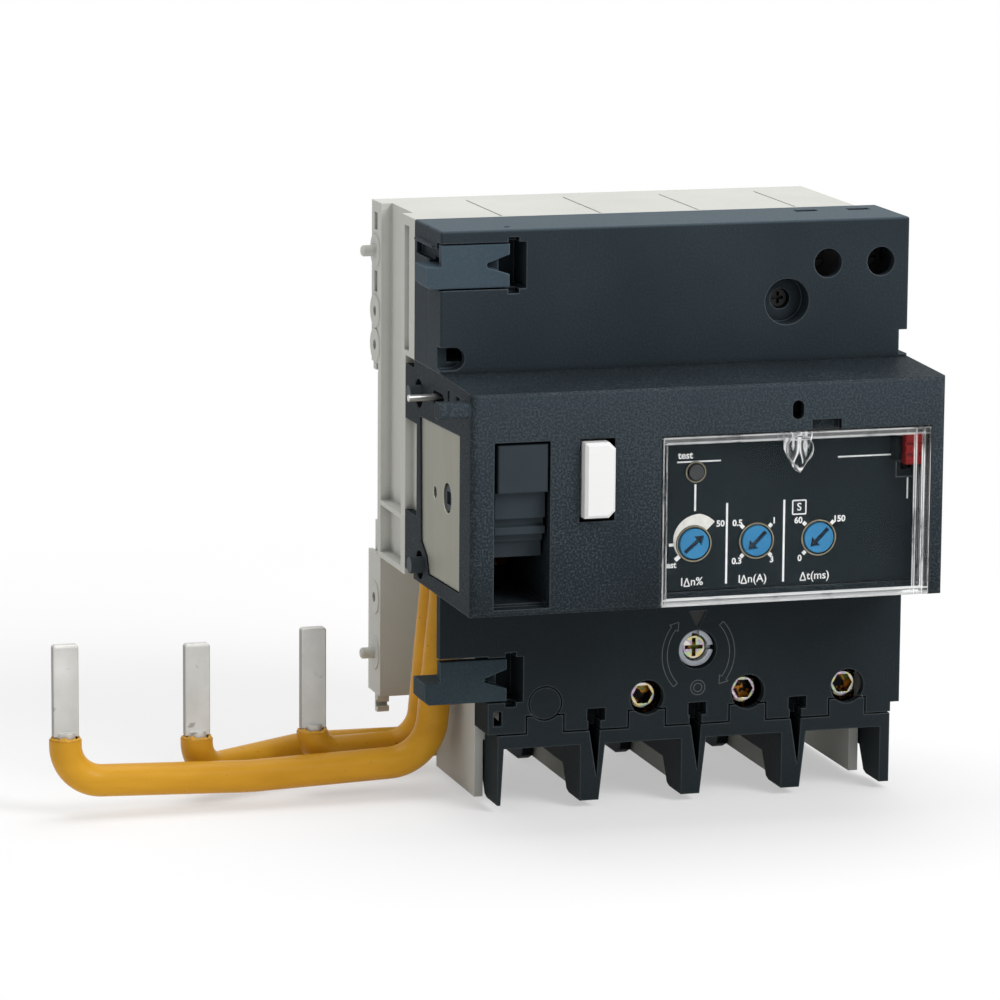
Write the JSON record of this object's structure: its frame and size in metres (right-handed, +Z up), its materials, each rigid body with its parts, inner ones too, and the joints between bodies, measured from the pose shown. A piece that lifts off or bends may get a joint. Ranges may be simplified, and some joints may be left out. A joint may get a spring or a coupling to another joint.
{
  "type": "residual current device",
  "caption": "Rail-mounted residual current block that couples to a breaker's side, with setting dials, test button, clear sealing lid and formed leads.",
  "frame": {"origin": "middle of the rail seat, on the plane where the back of the housing meets the front of the rail", "axes": "+X to the right seen from the front, +Z up, +Y back towards the rail; the front faces -Y"},
  "size_m": [0.1748, 0.0794, 0.1187],
  "materials": {
    "base_grey": "fine matte, warm light grey",
    "cover_anthracite": "fine matte grain, blue-black",
    "clip_anthracite": "satin blue-grey",
    "handle_black": "satin black",
    "lever_white": "satin white",
    "panel_anthracite": "fine matte, white marks",
    "dial_blue": "satin blue",
    "button_black": "satin black",
    "slider_red": "satin red",
    "lid_clear": "clear polished",
    "steel": "plain steel",
    "dark_steel": "blackened steel",
    "zinc": "yellow passivated zinc",
    "plate_metal": "dull sheet",
    "tin": "tinned copper",
    "copper": "bare copper",
    "insulation_ochre": "glossy ochre",
    "core": "dull core",
    "winding": "enamelled wire",
    "board_green": "solder mask",
    "component_dark": "moulded",
    "lock_grey": "light grey"
  },
  "bodies": {
    "housing": {"base_housing": "base_grey", "upper_cover": "cover_anthracite", "nose_cover": "cover_anthracite", "lower_cover": "cover_anthracite", "terminal_shroud": "cover_anthracite", "blank_plug": "cover_anthracite", "rear_feet": "cover_anthracite", "locating_pegs": "base_grey", "cover_screw": "dark_steel", "side_frame": "handle_black", "mechanism_plate": "plate_metal", "trip_relay": "component_dark", "lever_pin": "steel", "settings_panel": "panel_anthracite", "control_board": "board_green", "potentiometers": "component_dark", "lock_ring": "lock_grey", "terminal_cages": "zinc", "busbars": "copper", "toroid_core": "core", "toroid_winding": "winding", "lead_insulation_1": "insulation_ochre", "lead_insulation_2": "insulation_ochre", "lead_insulation_3": "insulation_ochre", "lead_conductor_1": "tin", "lead_conductor_2": "tin", "lead_conductor_3": "tin", "main_board": "board_green", "board_components": "component_dark", "aux_terminal_block": "component_dark"},
    "upper_clip": {"upper_clip": "clip_anthracite"},
    "lower_clip": {"lower_clip": "clip_anthracite"},
    "handle": {"link_handle": "handle_black", "coupling_shaft": "handle_black"},
    "reset_lever": {"reset_lever": "lever_white"},
    "trip_lever": {"trip_lever": "handle_black", "trip_pin": "steel"},
    "relay_plunger": {"relay_plunger": "steel"},
    "test_button": {"test_button": "button_black"},
    "dial_1": {"dial_1": "dial_blue"},
    "dial_2": {"dial_2": "dial_blue"},
    "dial_3": {"dial_3": "dial_blue"},
    "clear_lid": {"clear_lid": "lid_clear"},
    "disconnect_slider": {"disconnect_slider": "slider_red"},
    "lock_screw": {"lock_screw": "zinc"},
    "pressure_plate_1": {"pressure_plate_1": "steel"},
    "pressure_plate_2": {"pressure_plate_2": "steel"},
    "pressure_plate_3": {"pressure_plate_3": "steel"},
    "terminal_screw_1": {"terminal_screw_1": "zinc"},
    "terminal_screw_2": {"terminal_screw_2": "zinc"},
    "terminal_screw_3": {"terminal_screw_3": "zinc"},
    "aux_screw_1": {"aux_screw_1": "dark_steel"},
    "aux_screw_2": {"aux_screw_2": "dark_steel"},
    "rail_latch_left": {"rail_latch_left": "base_grey"},
    "rail_latch_right": {"rail_latch_right": "base_grey"}
  },
  "joints": [
    {"name": "upper_clip_slide", "type": "slide", "parent": "housing", "child": "upper_clip", "axis": [1, 0, 0], "range_m": [0, 0.003]},
    {"name": "lower_clip_slide", "type": "slide", "parent": "housing", "child": "lower_clip", "axis": [1, 0, 0], "range_m": [0, 0.003]},
    {"name": "handle_swing", "type": "hinge", "parent": "housing", "child": "handle", "pos_m": [-0.04, -0.0514, -0.0014], "axis": [1, 0, 0], "range_deg": [0, 40]},
    {"name": "reset_lever_rock", "type": "hinge", "parent": "housing", "child": "reset_lever", "pos_m": [-0.02375, -0.067, 0.00465], "axis": [1, 0, 0], "range_deg": [-7, 0]},
    {"name": "trip_lever_swing", "type": "hinge", "parent": "housing", "child": "trip_lever", "pos_m": [-0.044, -0.046, 0.008], "axis": [1, 0, 0], "range_deg": [0, 26]},
    {"name": "relay_plunger_slide", "type": "slide", "parent": "housing", "child": "relay_plunger", "axis": [0, -1, 0], "range_m": [0, 0.0015]},
    {"name": "test_button_press", "type": "slide", "parent": "housing", "child": "test_button", "axis": [0, 1, 0], "range_m": [0, 0.0006], "stiffness_N_per_m": 800, "springref_m": -0.0004},
    {"name": "dial_1_turn", "type": "hinge", "parent": "housing", "child": "dial_1", "pos_m": [-0.0016, -0.064, -0.0105], "axis": [0, -1, 0], "range_deg": [0, 180]},
    {"name": "dial_2_turn", "type": "hinge", "parent": "housing", "child": "dial_2", "pos_m": [0.0116, -0.064, -0.0105], "axis": [0, -1, 0], "range_deg": [-270, 0]},
    {"name": "dial_3_turn", "type": "hinge", "parent": "housing", "child": "dial_3", "pos_m": [0.0248, -0.064, -0.0105], "axis": [0, -1, 0], "range_deg": [-180, 0]},
    {"name": "clear_lid_swing", "type": "hinge", "parent": "housing", "child": "clear_lid", "pos_m": [0.018, -0.0665, -0.0203], "axis": [1, 0, 0], "range_deg": [0, 110]},
    {"name": "disconnect_slide", "type": "slide", "parent": "housing", "child": "disconnect_slider", "axis": [0, 0, 1], "range_m": [-0.003, 0]},
    {"name": "lock_screw_turn", "type": "hinge", "parent": "housing", "child": "lock_screw", "pos_m": [0.0053, -0.045, -0.036], "axis": [0, 1, 0], "range_deg": [0, 180]},
    {"name": "pressure_plate_1_slide", "type": "slide", "parent": "housing", "child": "pressure_plate_1", "axis": [0, 1, 0], "range_m": [0, 0.003]},
    {"name": "terminal_screw_1_turn", "type": "hinge", "parent": "pressure_plate_1", "child": "terminal_screw_1", "pos_m": [-0.00544, -0.042, -0.0454], "axis": [0, 1, 0], "range_deg": [0, 1080]},
    {"name": "pressure_plate_2_slide", "type": "slide", "parent": "housing", "child": "pressure_plate_2", "axis": [0, 1, 0], "range_m": [0, 0.003]},
    {"name": "terminal_screw_2_turn", "type": "hinge", "parent": "pressure_plate_2", "child": "terminal_screw_2", "pos_m": [0.01622, -0.042, -0.0454], "axis": [0, 1, 0], "range_deg": [0, 1080]},
    {"name": "pressure_plate_3_slide", "type": "slide", "parent": "housing", "child": "pressure_plate_3", "axis": [0, 1, 0], "range_m": [0, 0.003]},
    {"name": "terminal_screw_3_turn", "type": "hinge", "parent": "pressure_plate_3", "child": "terminal_screw_3", "pos_m": [0.03788, -0.042, -0.0454], "axis": [0, 1, 0], "range_deg": [0, 1080]},
    {"name": "aux_screw_1_turn", "type": "hinge", "parent": "housing", "child": "aux_screw_1", "pos_m": [0.032, -0.038, 0.0426], "axis": [0, 1, 0], "range_deg": [0, 360]},
    {"name": "aux_screw_2_turn", "type": "hinge", "parent": "housing", "child": "aux_screw_2", "pos_m": [0.0434, -0.038, 0.0426], "axis": [0, 1, 0], "range_deg": [0, 360]},
    {"name": "rail_latch_left_slide", "type": "slide", "parent": "housing", "child": "rail_latch_left", "axis": [0, 0, 1], "range_m": [-0.003, 0], "stiffness_N_per_m": 900, "springref_m": 0.002},
    {"name": "rail_latch_right_slide", "type": "slide", "parent": "housing", "child": "rail_latch_right", "axis": [0, 0, 1], "range_m": [-0.003, 0], "stiffness_N_per_m": 900, "springref_m": 0.002}
  ],
  "couplings": [
    {"joint": "trip_lever_swing", "follows": "relay_plunger_slide", "rad_per_m": 302.5},
    {"joint": "terminal_screw_1_turn", "follows": "pressure_plate_1_slide", "rad_per_m": 6283.2},
    {"joint": "terminal_screw_2_turn", "follows": "pressure_plate_2_slide", "rad_per_m": 6283.2},
    {"joint": "terminal_screw_3_turn", "follows": "pressure_plate_3_slide", "rad_per_m": 6283.2}
  ]
}
